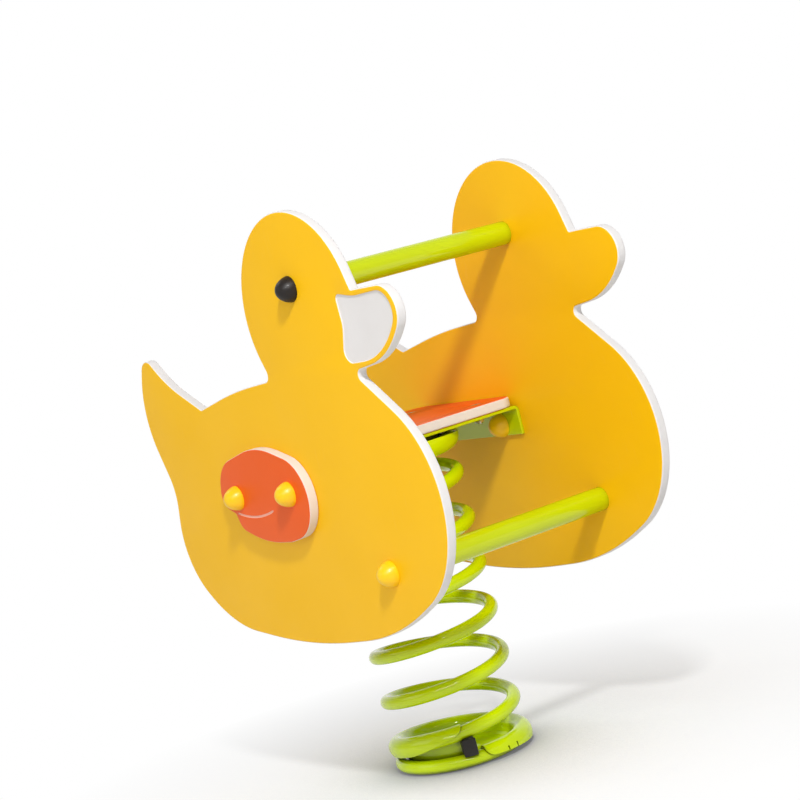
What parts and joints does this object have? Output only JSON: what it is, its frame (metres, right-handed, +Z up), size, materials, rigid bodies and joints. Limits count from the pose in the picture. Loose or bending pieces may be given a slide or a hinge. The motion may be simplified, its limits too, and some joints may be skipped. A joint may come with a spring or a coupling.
{
  "type": "spring rider",
  "caption": "Playground spring rider shaped like a duck: side panels with a seat, a handle bar and a foot bar between them, rocking on a large coil spring bolted to the ground.",
  "frame": {"origin": "centre of the ground bolts, on the underside of the lower spring clamp, on the axis of the spring", "axes": "+X the way the rider faces, +Y to the rider's left, +Z up"},
  "size_m": [0.7294, 0.452, 0.8208],
  "materials": {
    "panel_yellow": "satin sheet with a white core at its edges",
    "wing_red": "satin sheet with a white core at its edges",
    "seat_red": "satin sheet with a white core at its edges",
    "green_paint": "gloss powder coat",
    "spring_green": "gloss powder coat",
    "cap_black": "gloss",
    "cap_yellow": "gloss",
    "stop_black": "matt",
    "steel": "zinc plated"
  },
  "bodies": {
    "base": {"lower_clamp": "green_paint", "lower_stop": "stop_black"},
    "spring": {"spring": "spring_green"},
    "rider": {"right_panel": "panel_yellow", "left_panel": "panel_yellow", "right_wing": "wing_red", "left_wing": "wing_red", "seat_plate": "seat_red", "seat_frame": "green_paint", "handle_bar": "green_paint", "foot_bar": "green_paint", "upper_clamp": "green_paint", "eye_caps": "cap_black", "eye_cap_cups": "cap_black", "foot_caps": "cap_yellow", "foot_cap_cups": "cap_yellow", "wing_caps": "cap_yellow", "wing_cap_cups": "cap_yellow", "nut_caps": "cap_yellow", "nut_cap_cups": "cap_yellow", "upper_stop": "stop_black", "handle_bar_plugs": "steel", "handle_bolts": "steel", "foot_bar_plugs": "steel", "foot_bolts": "steel", "frame_bolts": "steel", "frame_nuts": "steel", "seat_bolts": "steel", "seat_nuts": "steel", "clamp_studs": "steel", "clamp_washers": "steel", "clamp_nuts": "steel"}
  },
  "joints": [
    {"name": "rock_fore_aft", "type": "hinge", "parent": "base", "child": "spring", "pos_m": [0, 0, 0.144], "axis": [0, 1, 0], "range_deg": [-20, 20], "stiffness_Nm_per_rad": 500, "deforming": ["spring"]},
    {"name": "rock_sideways", "type": "hinge", "parent": "spring", "child": "rider", "pos_m": [0, 0, 0.324], "axis": [1, 0, 0], "range_deg": [-12, 12], "stiffness_Nm_per_rad": 500, "deforming": ["spring"]}
  ]
}
